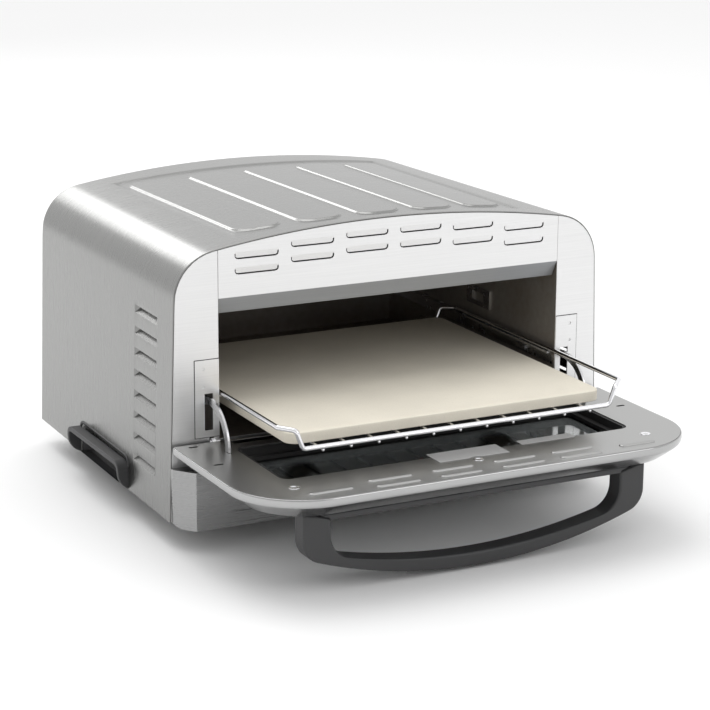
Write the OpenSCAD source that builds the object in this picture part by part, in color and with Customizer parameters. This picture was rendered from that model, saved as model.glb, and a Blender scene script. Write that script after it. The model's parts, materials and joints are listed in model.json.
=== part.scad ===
// Countertop pizza oven, drop-down door open, rack and stone drawn out.
// Millimetres, +Z up, front of the oven faces -Y.

/* [Body] */
// Width of the steel body at the front, at the level of the door hinge
body_w = 481.8; // [380:0.1:620]
// Depth of the steel body
body_d = 386.5; // [300:0.5:520]
// Height of the steel body without its feet
body_h = 282; // [225:0.5:360]
// Height of the feet
foot_h = 27; // [20:0.5:40]
// Width of the steel column beside the oven mouth
side_w = 50.9; // [48:0.1:64]
// Radius of the long upper corners
corner_r = 49.5; // [30:0.5:60]
// Radius of the slightly domed top
dome_r = 1150; // [900:10:1600]
// Thickness of the sheet steel
sheet = 1.2; // [0.8:0.1:1.6]

/* [Door] */
// Thickness of the door
door_t = 22; // [18:0.5:28]
// Radius of the two free corners of the door
door_r = 75; // [40:1:90]
// Thickness of the door glass
glass_t = 3.2; // [2.5:0.1:4]
// Radius of the hinge pins
pin_r = 2; // [1.5:0.1:2.4]
// Length of the handle posts below the door face
handle_drop = 80; // [60:1:100]
// Thickness of the handle, measured across the grip
handle_t = 21; // [16:0.5:28]

/* [Rack and stone] */
// Radius of the rack frame rod
rod_r = 2.4; // [1.8:0.1:3]
// Radius of the lengthwise rack wires
wire_r = 1.5; // [1:0.1:2]
// Thickness of the baking stone
stone_t = 11.2; // [8:0.1:14]

/* [Controls] */
// Radius of the knobs
knob_r = 17; // [13:0.5:21]
// Radius of the knob shafts
shaft_r = 3; // [2.4:0.1:3.8]

/* [Hidden] */
$fn = 64;
half_w = body_w / 2;
base_drop = 78.1;
hinge_z = foot_h + base_drop;
crown = body_h - base_drop;
crown_back = crown - 5.5;
lean = 0.0335;
taper = 0.0179;
mouth_x = half_w - side_w;
mouth_z = crown - 64.3;
front_y = -91;
fit = 0.3;
// hinge line, measured from the front face and the door's inner surface
ax_y = -3;
ax_z = -1.5;
bore_r = pin_r + 0.05;
ear_x = mouth_x + 6;
ear_t = 4;
ear_r = pin_r + 2;
arm_x = mouth_x + 9;
arm_t = 2.5;
arm_in = 37;
arm_out = 45;
// door
door_x = half_w + 1.1;
door_back = -5.4;
door_front = -(crown + 5.6);
rim_z = 8.2;
bevel = 19;
skin = 1.2;
panel_t = 1;
well_back = -35;
well_front = door_front + 66;
glass_z = -13;
outer_glass_z = -door_t + skin;
handle_y = door_front + 30.7;
post_out = door_x - 56.5;
post_in = post_out - 28.5;
strip_top = -door_t - 5;
strip_low = strip_top - 6;
grip_low = -door_t - handle_drop;
grip_top = grip_low + 14.5;
bow_r = 512;
bow_in_r = 627;
// oven chamber
cav_x = mouth_x + 2;
cav_low = -6;
cav_top = crown - 46;
cav_back = body_d - 17;
cav_t = 0.8;
// rack and stone
rail_x = cav_x - 5.2;
rail_z = 45.1;
bar_z = 25.3;
rack_travel = 150;
rack_front = -139;
rack_back = cav_back - rack_travel - 4.5;
wire_z = bar_z - rod_r - wire_r + 0.2;
wire_count = 11;
stone_x = rail_x - 14.8;
stone_front = rack_front + 21;
stone_back = rack_back - rod_r - 0.6;
stone_z = wire_z + wire_r + fit;
// controls
house_top = -23.3;
house_low = -82.5;
house_y = -25;
knob_x = mouth_x - 80;
knob_z = -50;
shaft_bore = shaft_r + 0.05;
// carry handles
hold_front = 112;
hold_back = body_d - 126;
hold_top = -48.5;
hold_out = 12.3;

steel = [0.76, 0.76, 0.75];
pale = [0.86, 0.86, 0.86];
black = [0.22, 0.22, 0.22];
dark = [0.28, 0.26, 0.24];
shine = [0.85, 0.85, 0.87];
cream = [0.87, 0.84, 0.75];
clear = [0.35, 0.38, 0.4, 0.5];

// piece shown on its own, or all of them

// puts a piece drawn from the mouth sill into the oven's own frame
module place() {
  translate([0, front_y, hinge_z]) children();
}

module span(x0, x1, y0, y1, z0, z1) {
  translate([x0, y0, z0]) cube([x1 - x0, y1 - y0, z1 - z0]);
}

// box on the right-hand side (side = 1) or the left (side = -1)
module side_span(side, x0, x1, y0, y1, z0, z1) {
  span(side > 0 ? x0 : -x1, side > 0 ? x1 : -x0, y0, y1, z0, z1);
}

// 2D shape drawn in X and Z, given a depth from y0 back to y1
module in_depth(y0, y1) {
  translate([0, y1, 0]) rotate([90, 0, 0]) linear_extrude(y1 - y0) children();
}

module rod(a, b, r) {
  d = b - a;
  l = norm(d);
  translate(a) rotate([0, acos(d[2] / l), atan2(d[1], d[0])]) cylinder(r = r, h = l);
}

module knuckle(p, r) {
  translate(p) sphere(r = r * 1.005);
}

// rectangle with four round corners
module soft_rect(x0, x1, y0, y1, r) {
  translate([x0 + r, y0]) square([x1 - x0 - 2 * r, y1 - y0]);
  translate([x0, y0 + r]) square([x1 - x0, y1 - y0 - 2 * r]);
  for (x = [x0 + r, x1 - r])
    for (y = [y0 + r, y1 - r])
      translate([x, y]) circle(r = r);
}

// slot with round ends, along X
module pill(x0, x1, y, w) {
  translate([x0 + w / 2, y - w / 2]) square([x1 - x0 - w, w]);
  translate([x0 + w / 2, y]) circle(d = w);
  translate([x1 - w / 2, y]) circle(d = w);
}

// outline of the body seen from the front, at depth y, moved in by t
function corner_x(y) = half_w - lean * 140 - corner_r - taper * y;
function crown_at(y) = crown - (crown - crown_back) * y / body_d;
function corner_z(y) = crown_at(y) - dome_r
  + sqrt(pow(dome_r - corner_r, 2) - pow(corner_x(y), 2));
function foot_x(y) = half_w + lean * base_drop - taper * y;
function side_x(y, z) = half_w - lean * z - taper * y;
function meet_a(y) = acos(corner_x(y) / (dome_r - corner_r));
function corner_arc(y, t) = [for (i = [0:9])
  let (a = atan(lean) + (meet_a(y) - atan(lean)) * i / 9)
  [corner_x(y) + (corner_r - t) * cos(a), corner_z(y) + (corner_r - t) * sin(a)]];
function dome_arc(y, t) = [for (i = [1:15])
  let (a = meet_a(y) + (180 - 2 * meet_a(y)) * i / 16)
  [(dome_r - t) * cos(a), crown_at(y) - dome_r + (dome_r - t) * sin(a)]];
function other_side(p) = [for (i = [len(p) - 1:-1:0]) [-p[i][0], p[i][1]]];
function outline(y, t, drop) = let (arc = corner_arc(y, t))
  concat([[foot_x(y) - t, -base_drop - drop]], arc, dome_arc(y, t),
  other_side(arc), [[-foot_x(y) + t, -base_drop - drop]]);

module slice(y, t, drop) {
  in_depth(y, y + 0.01) polygon(outline(y, t, drop));
}

module side_slots() {
  pitch = (crown - 52) / 7;
  for (side = [-1, 1])
    for (i = [0:7])
      side_span(side, half_w - 30, half_w + 30, 41, 101,
        crown - 95 - i * pitch, crown - 87 - i * pitch);
}

module outer_shell() color(steel) place() difference() {
  hull() {
    slice(0, 0, 0);
    slice(body_d - 0.01, 0, 0);
  }
  hull() {
    slice(-1, sheet, 2);
    slice(body_d + 1, sheet, 2);
  }
  side_slots();
  for (side = [-1, 1])
    side_span(side, half_w - 30, half_w + 30, hold_front + 6, hold_back - 6,
      -base_drop - 1, hold_top - 3.5);
}

module back_panel() color(steel) place() difference() {
  in_depth(body_d - 1.7, body_d - 0.2) polygon(outline(body_d, sheet + 0.2, -0.2));
  for (x = [-120:20:120])
    in_depth(body_d - 3, body_d + 1)
      translate([x - 3, 60]) square([6, 40]);
  translate([-140, body_d + 1, -45]) rotate([90, 0, 0]) cylinder(r = 8.2, h = 4);
  back_screw_spots() rotate([90, 0, 0]) cylinder(r = 2.1, h = 6);
}

module back_screw_spots() {
  for (x = [-half_w + 40, half_w - 40])
    for (z = [-60, 20, crown - 90])
      translate([x, body_d + 2, z]) children();
}

module back_screws() color(shine) place() back_screw_spots() rotate([90, 0, 0]) {
  translate([0, 0, 0.4]) cylinder(r = 4, h = 1.8);
  cylinder(r = 2, h = 10);
}

// floor of the body, inside the shell and clear of the two hand pockets
module base_plan(t) {
  x0 = foot_x(0) - t;
  x1 = foot_x(body_d) - t;
  polygon([[-x0, 1.4], [x0, 1.4], [x1, body_d - 2], [-x1, body_d - 2]]);
}

module base_pan() color(steel) place() difference() {
  translate([0, 0, -base_drop]) linear_extrude(sheet) base_plan(sheet + 0.3);
  for (side = [-1, 1])
    side_span(side, side_x(hold_back, hold_top) - 10.5, half_w + 5, hold_front - 1, hold_back + 1,
      -base_drop - 1, -base_drop + 4);
  for (x = [-150:25:150])
    span(x - 2.5, x + 2.5, 130, 280, -base_drop - 1, -base_drop + 2);
}

module feet() color(black) place() {
  for (x = [-half_w + 58, half_w - 58])
    for (y = [70, body_d - 51.5])
      translate([x, y, -base_drop - foot_h]) {
        cylinder(r1 = 10.5, r2 = 12, h = foot_h - 4);
        translate([0, 0, foot_h - 4]) cylinder(r = 14, h = 4);
      }
}

module front_frame() color(pale) place() difference() {
  in_depth(0, sheet) polygon(outline(0, sheet + 0.1, -0.2));
  span(-mouth_x, mouth_x, -1, 3, 0, crown + 10);
  for (side = [-1, 1]) {
    side_span(side, arm_x - 2.5, arm_x + 6.5, -1, 3, 10, 47);
    side_span(side, ear_x - 0.4, ear_x + ear_t + 0.4, -1, 3, -6, 3.2);
  }
}

module vent_cells() {
  cell = (2 * mouth_x - 22) / 6;
  for (i = [0:5])
    for (row = [0, 1])
      translate([(i - 2.5) * cell, 0, 0])
        assign_height((i - 2.5) * cell, row) children();
}

// slot tops follow the dome
module assign_height(x, row) {
  translate([0, 0, crown - x * x / (2 * dome_r) - 11 - 15 * row]) children();
}

module vent_panel() color(pale) place() {
  difference() {
    intersection() {
      in_depth(0, sheet) polygon(outline(0, sheet + 0.1, 0));
      span(-mouth_x + 0.2, mouth_x - 0.2, -1, 3, mouth_z, crown + 10);
    }
    vent_cells() span(-23, 23, -1, 3, -6.6, 0);
  }
  vent_cells() rotate([20, 0, 0]) span(-22.6, 22.6, 0.15, 0.95, -6.6, 0.3);
}

module hinge_cover(side) {
  difference() {
    side_span(side, mouth_x + 0.2, mouth_x + 25.4, -0.8, 0, 3.4, 80.6);
    side_span(side, arm_x - 2.5, arm_x + 6.5, -2, 1, 10, 47);
    for (z = [54, 72])
      translate([side * (mouth_x + 17), 1, z]) rotate([90, 0, 0]) cylinder(r = 1.6, h = 3);
  }
}

module hinge_cover_left() color(pale) place() hinge_cover(-1);
module hinge_cover_right() color(pale) place() hinge_cover(1);

module house_plan(t) {
  polygon([[-half_w - 0.6 + t, 0], [-half_w - 0.6 + t, -5], [-half_w + 15.4 + t / 2, house_y + t],
    [half_w - 15.4 - t / 2, house_y + t], [half_w + 0.6 - t, -5], [half_w + 0.6 - t, 0]]);
}

module control_housing() color(steel) place() difference() {
  intersection() {
    translate([0, 0, house_low]) linear_extrude(house_top - house_low) house_plan(0);
    in_depth(house_y - 1, 1)
      soft_rect(-half_w - 1, half_w + 1, house_low, house_top + 20, 8);
  }
  translate([0, 0, house_low + 1.5]) linear_extrude(house_top - house_low - 3) house_plan(1.5);
  in_depth(house_y - 1, house_y + 3) soft_rect(-mouth_x, mouth_x, -67.5, -29, 8);
}

module control_panel() color(steel) place() difference() {
  in_depth(house_y + 0.5, house_y + 2) soft_rect(-mouth_x + 0.2, mouth_x - 0.2, -67.3, -29.2, 7.8);
  for (x = [-knob_x, knob_x])
    translate([x, 0, knob_z]) rotate([90, 0, 0]) cylinder(r = shaft_r + 3.2, h = 40);
  for (x = [-20, 20])
    translate([x, 0, knob_z]) rotate([90, 0, 0]) cylinder(r = 3.1, h = 40);
}

module indicator_lights() color([0.7, 0.1, 0.08]) place() {
  for (x = [-20, 20])
    translate([x, house_y + 6, knob_z]) rotate([90, 0, 0]) {
      cylinder(r = 3, h = 6.2);
      cylinder(r = 4.5, h = 4);
    }
}

module control_body(x) {
  difference() {
    union() {
      span(x - 16, x + 16, house_y + 2, -5, knob_z - 14, knob_z + 14);
      translate([x, house_y + 3, knob_z]) rotate([90, 0, 0]) cylinder(r = shaft_r + 3, h = 3.5);
    }
    translate([x, house_y + 17, knob_z]) rotate([90, 0, 0]) cylinder(r = shaft_bore, h = 30);
  }
}

module thermostat_body() color(dark) place() control_body(-knob_x);
module timer_body() color(dark) place() control_body(knob_x);

module knob(x) {
  translate([x, house_y - 0.7, knob_z]) rotate([90, 0, 0]) difference() {
    union() {
      cylinder(r = knob_r, h = 5);
      cylinder(r1 = knob_r - 1.5, r2 = knob_r - 3, h = 19);
      translate([-2, 0, 5]) cube([4, knob_r - 1.4, 14.6]);
    }
    translate([0, 0, -1]) cylinder(r = shaft_r, h = 15);
  }
}

module knob_shaft(x) {
  translate([x, house_y + 16.6, knob_z]) rotate([90, 0, 0]) cylinder(r = shaft_r, h = 31);
}

module temperature_knob() color(black) place() knob(-knob_x);
module timer_knob() color(black) place() knob(knob_x);
module temperature_shaft() color(shine) place() knob_shaft(-knob_x);
module timer_shaft() color(shine) place() knob_shaft(knob_x);

module cavity_liner() color(dark) place() difference() {
  span(-cav_x - cav_t, cav_x + cav_t, sheet, cav_back, cav_low - cav_t, cav_top + cav_t);
  span(-cav_x, cav_x, 0, cav_back + 1, cav_low, cav_top);
  span(-mouth_x, mouth_x, 0, 5, cav_top - 1, cav_top + cav_t + 1);
  for (y = [95, cav_back - 90])
    for (z = [cav_low + 12, cav_top - 20])
      translate([cav_x - 3, y, z]) rotate([0, 90, 0]) cylinder(r = 4, h = 8);
}

module cavity_back() color(dark) place()
  span(-cav_x - 8, cav_x + 8, cav_back, cav_back + cav_t, cav_low - 6, cav_top + 6);

module cavity_lip() color(steel) place()
  translate([-mouth_x + 0.3, 0, 0]) rotate([90, 0, 90]) linear_extrude(2 * mouth_x - 0.6)
    polygon([[0, mouth_z], [sheet, mouth_z], [sheet + 0.6, mouth_z - 0.5],
      [10.4, mouth_z - 16.2], [9.4, mouth_z - 16.8]]);

module rack_guide(side) {
  side_span(side, cav_x - 7.5, cav_x, 6, cav_back - 6, rail_z - rod_r - fit - 2, rail_z - rod_r - fit);
  side_span(side, cav_x - 1, cav_x, 6, cav_back - 6, rail_z - 17, rail_z - rod_r - fit - 1);
}

module rack_guide_left() color(shine) place() rack_guide(-1);
module rack_guide_right() color(shine) place() rack_guide(1);

module heater(z) {
  y0 = 95;
  y1 = cav_back - 90;
  turn = 30;
  x_end = cav_x + 10;
  rod([-cav_x + 20 + turn, y0, z], [x_end, y0, z], 3.2);
  rod([-cav_x + 20 + turn, y1, z], [x_end, y1, z], 3.2);
  rod([-cav_x + 20, y0 + turn, z], [-cav_x + 20, y1 - turn, z], 3.2);
  translate([-cav_x + 20 + turn, y0 + turn, z]) rotate([0, 0, 180])
    rotate_extrude(angle = 90) translate([turn, 0]) circle(r = 3.2);
  translate([-cav_x + 20 + turn, y1 - turn, z]) rotate([0, 0, 90])
    rotate_extrude(angle = 90) translate([turn, 0]) circle(r = 3.2);
}

module upper_element() color(dark) place() heater(cav_top - 20);
module lower_element() color(dark) place() heater(cav_low + 12);

module element_clips() color(shine) place() {
  difference() {
    span(cav_x - 2, cav_x, 136, 184, 57, 77);
    span(cav_x - 3, cav_x + 1, 148, 172, 62, 72);
  }
  span(cav_x - 3, cav_x - 1, 58, 76, 31, 36);
  for (y = [95, cav_back - 90])
    difference() {
      span(cav_x - 2, cav_x, y - 12, y + 12, cav_low + 2, cav_low + 22);
      translate([cav_x - 4, y, cav_low + 12]) rotate([0, 90, 0]) cylinder(r = 4, h = 8);
    }
}

module insulation_pad() color([0.8, 0.78, 0.7]) place()
  span(-cav_x + 40, cav_x - 40, 20, cav_back - 10, cav_top + cav_t, cav_top + cav_t + 12);

module hinge_bracket(side) {
  difference() {
    union() {
      side_span(side, ear_x, ear_x + ear_t, ax_y, 14, ax_z - ear_r, 1);
      translate([side > 0 ? ear_x : -ear_x - ear_t, ax_y, ax_z]) rotate([0, 90, 0])
        cylinder(r = ear_r, h = ear_t);
      side_span(side, ear_x - 3, ear_x + 16, sheet, sheet + 2, -30, ax_z - ear_r + 1);
    }
    translate([side > 0 ? ear_x - 5 : -ear_x - ear_t - 5, ax_y, ax_z]) rotate([0, 90, 0])
      cylinder(r = bore_r, h = ear_t + 10);
  }
}

module hinge_bracket_left() color(steel) place() hinge_bracket(-1);
module hinge_bracket_right() color(steel) place() hinge_bracket(1);

module side_handle(side) {
  x_in = side_x(hold_back, hold_top);
  x_far = side_x(hold_front, hold_top) + hold_out;
  wall = x_in - 10;
  low = -base_drop + 0.6;
  // strap that carries the hand
  side_span(side, x_in - 4, x_far, hold_front + 8, hold_back - 8, hold_top - 5, hold_top);
  for (y = [hold_front, hold_back - 18])
    intersection() {
      side_span(side, wall, x_far, y, y + 18, low, hold_top);
      translate([0, y + 18, 0]) rotate([90, 0, 0]) linear_extrude(18)
        soft_rect(-x_far, x_far, low, hold_top + 40, 20);
    }
  // pocket behind the strap
  side_span(side, wall, wall + 1.6, hold_front + 10, hold_back - 10, low, hold_top - 4);
  side_span(side, wall, x_in - 3, hold_front + 10, hold_back - 10, hold_top - 5, hold_top - 3.6);
}

module side_handle_left() color(black) place() handle_clear(-1);
module side_handle_right() color(black) place() handle_clear(1);

// the handle fills only the room outside the shell and inside its window
module handle_clear(side) {
  difference() {
    side_handle(side);
    difference() {
      shell_skin(side);
      side_span(side, half_w - 30, half_w + 30, hold_front + 6.2, hold_back - 6.2,
        -base_drop - 3, hold_top - 3.7);
    }
  }
}

// thickness of the shell's side wall, a little oversize
module shell_skin(side) {
  y0 = hold_front - 10;
  y1 = hold_back + 10;
  z0 = -base_drop - 4;
  z1 = hold_top + 10;
  translate([0, 0, z0]) multmatrix([[1, -side * taper, -side * lean, side * half_w - side * lean * z0],
    [0, 1, 0, 0], [0, 0, 1, 0], [0, 0, 0, 1]])
    translate([side > 0 ? -sheet - 0.2 : -0.1, y0, 0]) cube([sheet + 0.3, y1 - y0, z1 - z0]);
}

module cord_gland() color(black) place() translate([-140, body_d + 5, -45]) rotate([90, 0, 0]) {
  cylinder(r1 = 6, r2 = 9, h = 5);
  cylinder(r = 8, h = 14);
}

// outline of the door, moved in by t
module door_plan(t) {
  r = door_r - t;
  translate([-door_x + t, door_front + door_r]) square([2 * door_x - 2 * t, door_back - door_front - door_r - t]);
  translate([-door_x + door_r, door_front + t]) square([2 * door_x - 2 * door_r, door_r]);
  for (x = [-door_x + door_r, door_x - door_r])
    translate([x, door_front + door_r]) circle(r = r, $fn = 96);
}

module door_layer(t, z) {
  translate([0, 0, z]) linear_extrude(0.01) door_plan(t);
}

module window(inset, r) {
  soft_rect(-mouth_x + inset, mouth_x - inset, well_front + inset, well_back - inset, r);
}

module hinge_notch(side) {
  side_span(side, mouth_x + 0.2, ear_x + ear_t + 1.6, -14, 1, -7, 2);
}

module door_outer_skin() color(steel) place() difference() {
  union() {
    translate([0, 0, -rim_z]) linear_extrude(rim_z - 0.2) door_plan(0);
    hull() {
      door_layer(0, -rim_z);
      door_layer(bevel, -door_t);
    }
  }
  translate([0, 0, -rim_z]) linear_extrude(rim_z + 2) door_plan(skin);
  hull() {
    door_layer(skin, -rim_z);
    door_layer(bevel + 0.4, -door_t + skin);
  }
  translate([0, 0, -door_t - 1]) linear_extrude(4) window(5, 8);
  for (side = [-1, 1]) hinge_notch(side);
  handle_screw_spots() cylinder(r = 2.1, h = 30, center = true);
}

module handle_screw_spots() {
  for (x = [-post_out + 14, 2, post_out - 14])
    translate([x, handle_y + handle_t / 2, outer_glass_z]) children();
}

module handle_screws() color(shine) place() handle_screw_spots() {
  cylinder(r = 4, h = 2.4);
  translate([0, 0, -9]) cylinder(r = 2, h = 9.5);
}

module pills(y, x_list) {
  for (p = x_list) pill(p[0], p[1], y, 6);
}

module door_vents() {
  mid = [[-121, -76], [-54, -11], [12, 57], [76, 121]];
  side = [[-mouth_x + 4, -mouth_x + 48], [mouth_x - 43, mouth_x - 4]];
  pills(door_front + 28.5, mid);
  pills(door_front + 11.5, mid);
  pills(door_front + 18.5, side);
}

module screw_spots() {
  for (x = [-mouth_x + 1, 3, mouth_x + 0.5])
    translate([x, door_front + 41.5, 0]) children();
}

module door_inner_panel() color(steel) place() difference() {
  union() {
    translate([0, 0, -panel_t]) linear_extrude(panel_t) door_plan(skin + 0.2);
    // turned edge on the hinge side of the window
    span(-mouth_x + 6, mouth_x - 6, well_back, well_back + 1.2, -9, -0.5);
    // rounded border beside the hinge
    span(-mouth_x + 6, mouth_x - 6, well_back + 0.5, -21.5, -3.4, -panel_t + 0.1);
    screw_spots() translate([0, 0, -9]) cylinder(r = 6.5, h = 8.5);
  }
  translate([0, 0, -panel_t - 1]) linear_extrude(panel_t + 2) window(0, 10);
  translate([0, 0, -panel_t - 1]) linear_extrude(panel_t + 2) door_vents();
  span(-mouth_x + 6, mouth_x - 6, -21.5, 2, -panel_t - 4, 2);
  for (side = [-1, 1]) {
    side_span(side, ear_x - 0.6, ear_x + ear_t + 0.6, -8, 1, -3, 1);
    side_span(side, arm_x - 0.5, arm_x + arm_t + 0.5, ax_y - arm_out - 1, ax_y - arm_in + 1, -3, 1);
    for (y = [-15, -75])
      translate([side * (half_w - 17), y, -3]) linear_extrude(5) pill(-5, 5, 0, 3.5);
  }
  for (i = [0:15])
    span(-mouth_x + 28 + i * (2 * mouth_x - 70) / 15, -mouth_x + 43 + i * (2 * mouth_x - 70) / 15,
      well_back - 1, well_back + 2, -9 + 0.6, -1.4);
  screw_spots() {
    translate([0, 0, -3]) cylinder(r1 = 2.1, r2 = 5.3, h = 3.2);
    translate([0, 0, -10]) cylinder(r = 2.1, h = 11);
  }
}

module door_screws() color(shine) place() screw_spots() {
  translate([0, 0, -2.9]) cylinder(r1 = 2, r2 = 4.9, h = 2.8);
  translate([0, 0, -12]) cylinder(r = 2, h = 10);
}

module glass_gasket() color([0.1, 0.1, 0.1]) place() difference() {
  translate([0, 0, outer_glass_z + glass_t]) linear_extrude(-outer_glass_z - glass_t - panel_t)
    window(0.3, 9.7);
  translate([0, 0, -9]) linear_extrude(12) window(3, 8);
  translate([0, 0, -30]) linear_extrude(40) window(9, 6);
  translate([0, 0, glass_z - glass_t - 0.2]) linear_extrude(glass_t + 0.2) window(1.4, 8.6);
  span(-mouth_x + 5, mouth_x - 5, well_back - 2.5, well_back + 1, -9.2, 0);
}

module door_glass_inner() color(clear) place()
  translate([0, 0, glass_z - glass_t]) linear_extrude(glass_t - 0.1) window(1.6, 8.4);

module door_glass_outer() color(clear) place()
  translate([0, 0, outer_glass_z]) linear_extrude(glass_t) window(1, 9);

module glass_retainer() color(steel) place() difference() {
  union() {
    span(-35, 41, well_front - 18, well_front + 9.5, 0, 0.6);
    span(64, 124, well_front - 3, well_front + 9.5, 0, 0.6);
  }
  translate([3, well_front - 24.5, -2]) cylinder(r = 9, h = 4);
}

// outline across the handle: posts, bow and the strip under the door
module round_low(x, r, big_r, low, top) {
  cx = x - r;
  big_z = low + big_r;
  cz = big_z - sqrt(pow(big_r - r, 2) - cx * cx);
  ux = cx / (big_r - r);
  uz = (cz - big_z) / (big_r - r);
  intersection() {
    translate([0, big_z]) circle(r = big_r, $fn = 360);
    polygon([[cx, cz], [x, cz], [x, top], [-x, top], [-x, cz], [-cx, cz],
      [-cx - ux * (r + 20), cz + uz * (r + 20)], [-x / 2, low - 40], [x / 2, low - 40],
      [cx + ux * (r + 20), cz + uz * (r + 20)]]);
  }
  for (side = [-1, 1])
    intersection() {
      translate([side * cx, cz]) circle(r = r);
      translate([-x, cz - r - 1]) square([2 * x, r + 2]);
    }
}

module handle_shape() {
  difference() {
    round_low(post_out, 22, bow_r, grip_low, -door_t);
    round_low(post_in, 25, bow_in_r, grip_top, strip_low);
    for (s = [[-139.6, -96], [-54, -19], [22.6, 59], [94, 137.5]])
      translate([s[0], strip_top]) square([s[1] - s[0], 20]);
  }
}

module door_handle() color(black) place() difference() {
  in_depth(handle_y, handle_y + handle_t) handle_shape();
  handle_screw_spots() translate([0, 0, -9.5]) cylinder(r = 2.05, h = 12);
}

module hinge_arm(side) {
  x0 = side > 0 ? arm_x : -arm_x - arm_t;
  intersection() {
    translate([x0, ax_y, ax_z]) rotate([0, 90, 0]) difference() {
      cylinder(r = arm_out, h = arm_t);
      translate([0, 0, -1]) cylinder(r = arm_in, h = arm_t + 2);
    }
    translate([x0 - 1, ax_y, ax_z]) rotate([90, 0, 90]) linear_extrude(arm_t + 2)
      polygon([[0, 0], [-60, -12], [-60, 60], [28, 60]]);
  }
  // foot of the arm, under the inner panel
  side_span(side, arm_x, arm_x + arm_t, ax_y - arm_out - 3, ax_y - arm_in + 3, -12, -panel_t);
}

module hinge_arm_left() color(shine) place() hinge_arm(-1);
module hinge_arm_right() color(shine) place() hinge_arm(1);

module hinge_pin(side) {
  translate([side > 0 ? mouth_x + 1 : -mouth_x - 12, ax_y, ax_z]) rotate([0, 90, 0])
    cylinder(r = pin_r, h = 11);
  side_span(side, mouth_x + 1, mouth_x + 5.2, -18, ax_y, ax_z - pin_r, -panel_t);
}

module hinge_pin_left() color(shine) place() hinge_pin(-1);
module hinge_pin_right() color(shine) place() hinge_pin(1);

// one end of the rack: down from the rails and across
module rack_end(y, inward) {
  rail_end = y + inward * 13;
  for (side = [-1, 1]) {
    rod([side * rail_x, rail_end, rail_z], [side * (rail_x - 12.8), y, rail_z - 1.1], rod_r);
    rod([side * (rail_x - 12.8), y, rail_z - 1.1], [side * (rail_x - 19.8), y, bar_z], rod_r);
    knuckle([side * rail_x, rail_end, rail_z], rod_r);
    knuckle([side * (rail_x - 12.8), y, rail_z - 1.1], rod_r);
    knuckle([side * (rail_x - 19.8), y, bar_z], rod_r);
  }
  rod([-rail_x + 19.8, y, bar_z], [rail_x - 19.8, y, bar_z], rod_r);
}

module wire_rack() color(shine) place() {
  rack_end(rack_front, 1);
  rack_end(rack_back, -1);
  for (side = [-1, 1])
    rod([side * rail_x, rack_front + 13, rail_z], [side * rail_x, rack_back - 13, rail_z], rod_r);
  wire_gap = (2 * rail_x - 82) / (wire_count - 1);
  for (i = [0:wire_count - 1])
    translate([(i - (wire_count - 1) / 2) * wire_gap, rack_front, wire_z]) rotate([-90, 0, 0])
      cylinder(r = wire_r, h = rack_back - rack_front);
}

module pizza_stone() color(cream) place() translate([0, 0, stone_z]) linear_extrude(stone_t)
  soft_rect(-stone_x, stone_x, stone_front, stone_back, 12);

outer_shell();
back_panel();
base_pan();
feet();
front_frame();
vent_panel();
hinge_cover_left();
hinge_cover_right();
control_housing();
control_panel();
indicator_lights();
thermostat_body();
timer_body();
cavity_liner();
cavity_back();
cavity_lip();
rack_guide_left();
rack_guide_right();
upper_element();
lower_element();
element_clips();
insulation_pad();
hinge_bracket_left();
hinge_bracket_right();
side_handle_left();
side_handle_right();
back_screws();
cord_gland();
door_inner_panel();
door_outer_skin();
door_glass_inner();
door_glass_outer();
glass_gasket();
glass_retainer();
door_handle();
handle_screws();
door_screws();
hinge_arm_left();
hinge_arm_right();
hinge_pin_left();
hinge_pin_right();
wire_rack();
pizza_stone();
temperature_knob();
temperature_shaft();
timer_knob();
timer_shaft();
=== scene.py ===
"""Looks of a countertop pizza oven: brushed steel body, glazed drop-down door, wire rack and stone.

Lengths are in millimetres in the oven's own drawing frame, whose zero is the middle of the mouth's
sill, on the front face, with Y going back and Z up. Shop.metres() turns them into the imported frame.
"""

import json
import logging
import math
from dataclasses import dataclass
from enum import Enum
from typing import Callable, Iterable, Sequence

import bmesh
import bpy
import numpy as np
from mathutils import Matrix, Vector


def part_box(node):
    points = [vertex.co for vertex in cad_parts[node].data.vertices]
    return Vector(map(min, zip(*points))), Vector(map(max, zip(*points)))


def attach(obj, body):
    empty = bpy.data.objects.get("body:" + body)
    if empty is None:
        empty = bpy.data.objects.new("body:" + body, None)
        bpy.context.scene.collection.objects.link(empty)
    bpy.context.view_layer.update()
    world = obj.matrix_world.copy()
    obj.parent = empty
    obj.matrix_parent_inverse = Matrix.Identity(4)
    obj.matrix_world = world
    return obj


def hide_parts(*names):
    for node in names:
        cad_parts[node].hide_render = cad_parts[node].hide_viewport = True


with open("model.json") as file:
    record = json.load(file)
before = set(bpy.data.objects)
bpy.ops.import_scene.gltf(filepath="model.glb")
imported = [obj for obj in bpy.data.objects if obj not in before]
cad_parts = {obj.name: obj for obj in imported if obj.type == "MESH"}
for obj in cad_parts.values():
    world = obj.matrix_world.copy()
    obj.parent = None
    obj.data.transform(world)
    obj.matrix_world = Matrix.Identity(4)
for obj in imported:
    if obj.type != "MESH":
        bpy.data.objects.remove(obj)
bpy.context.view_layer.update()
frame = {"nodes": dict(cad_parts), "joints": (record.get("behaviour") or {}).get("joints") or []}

LOG = logging.getLogger("oven")
MM = 0.001
Points = np.ndarray
Faces = list


class Brush(Enum):
    """Direction in which a steel sheet was brushed."""

    ROUND = (8.0, 420.0, 8.0)
    LEVEL = (6.0, 6.0, 520.0)
    DEEP = (420.0, 6.0, 6.0)


# ---------------------------------------------------------------- shader maths


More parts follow.
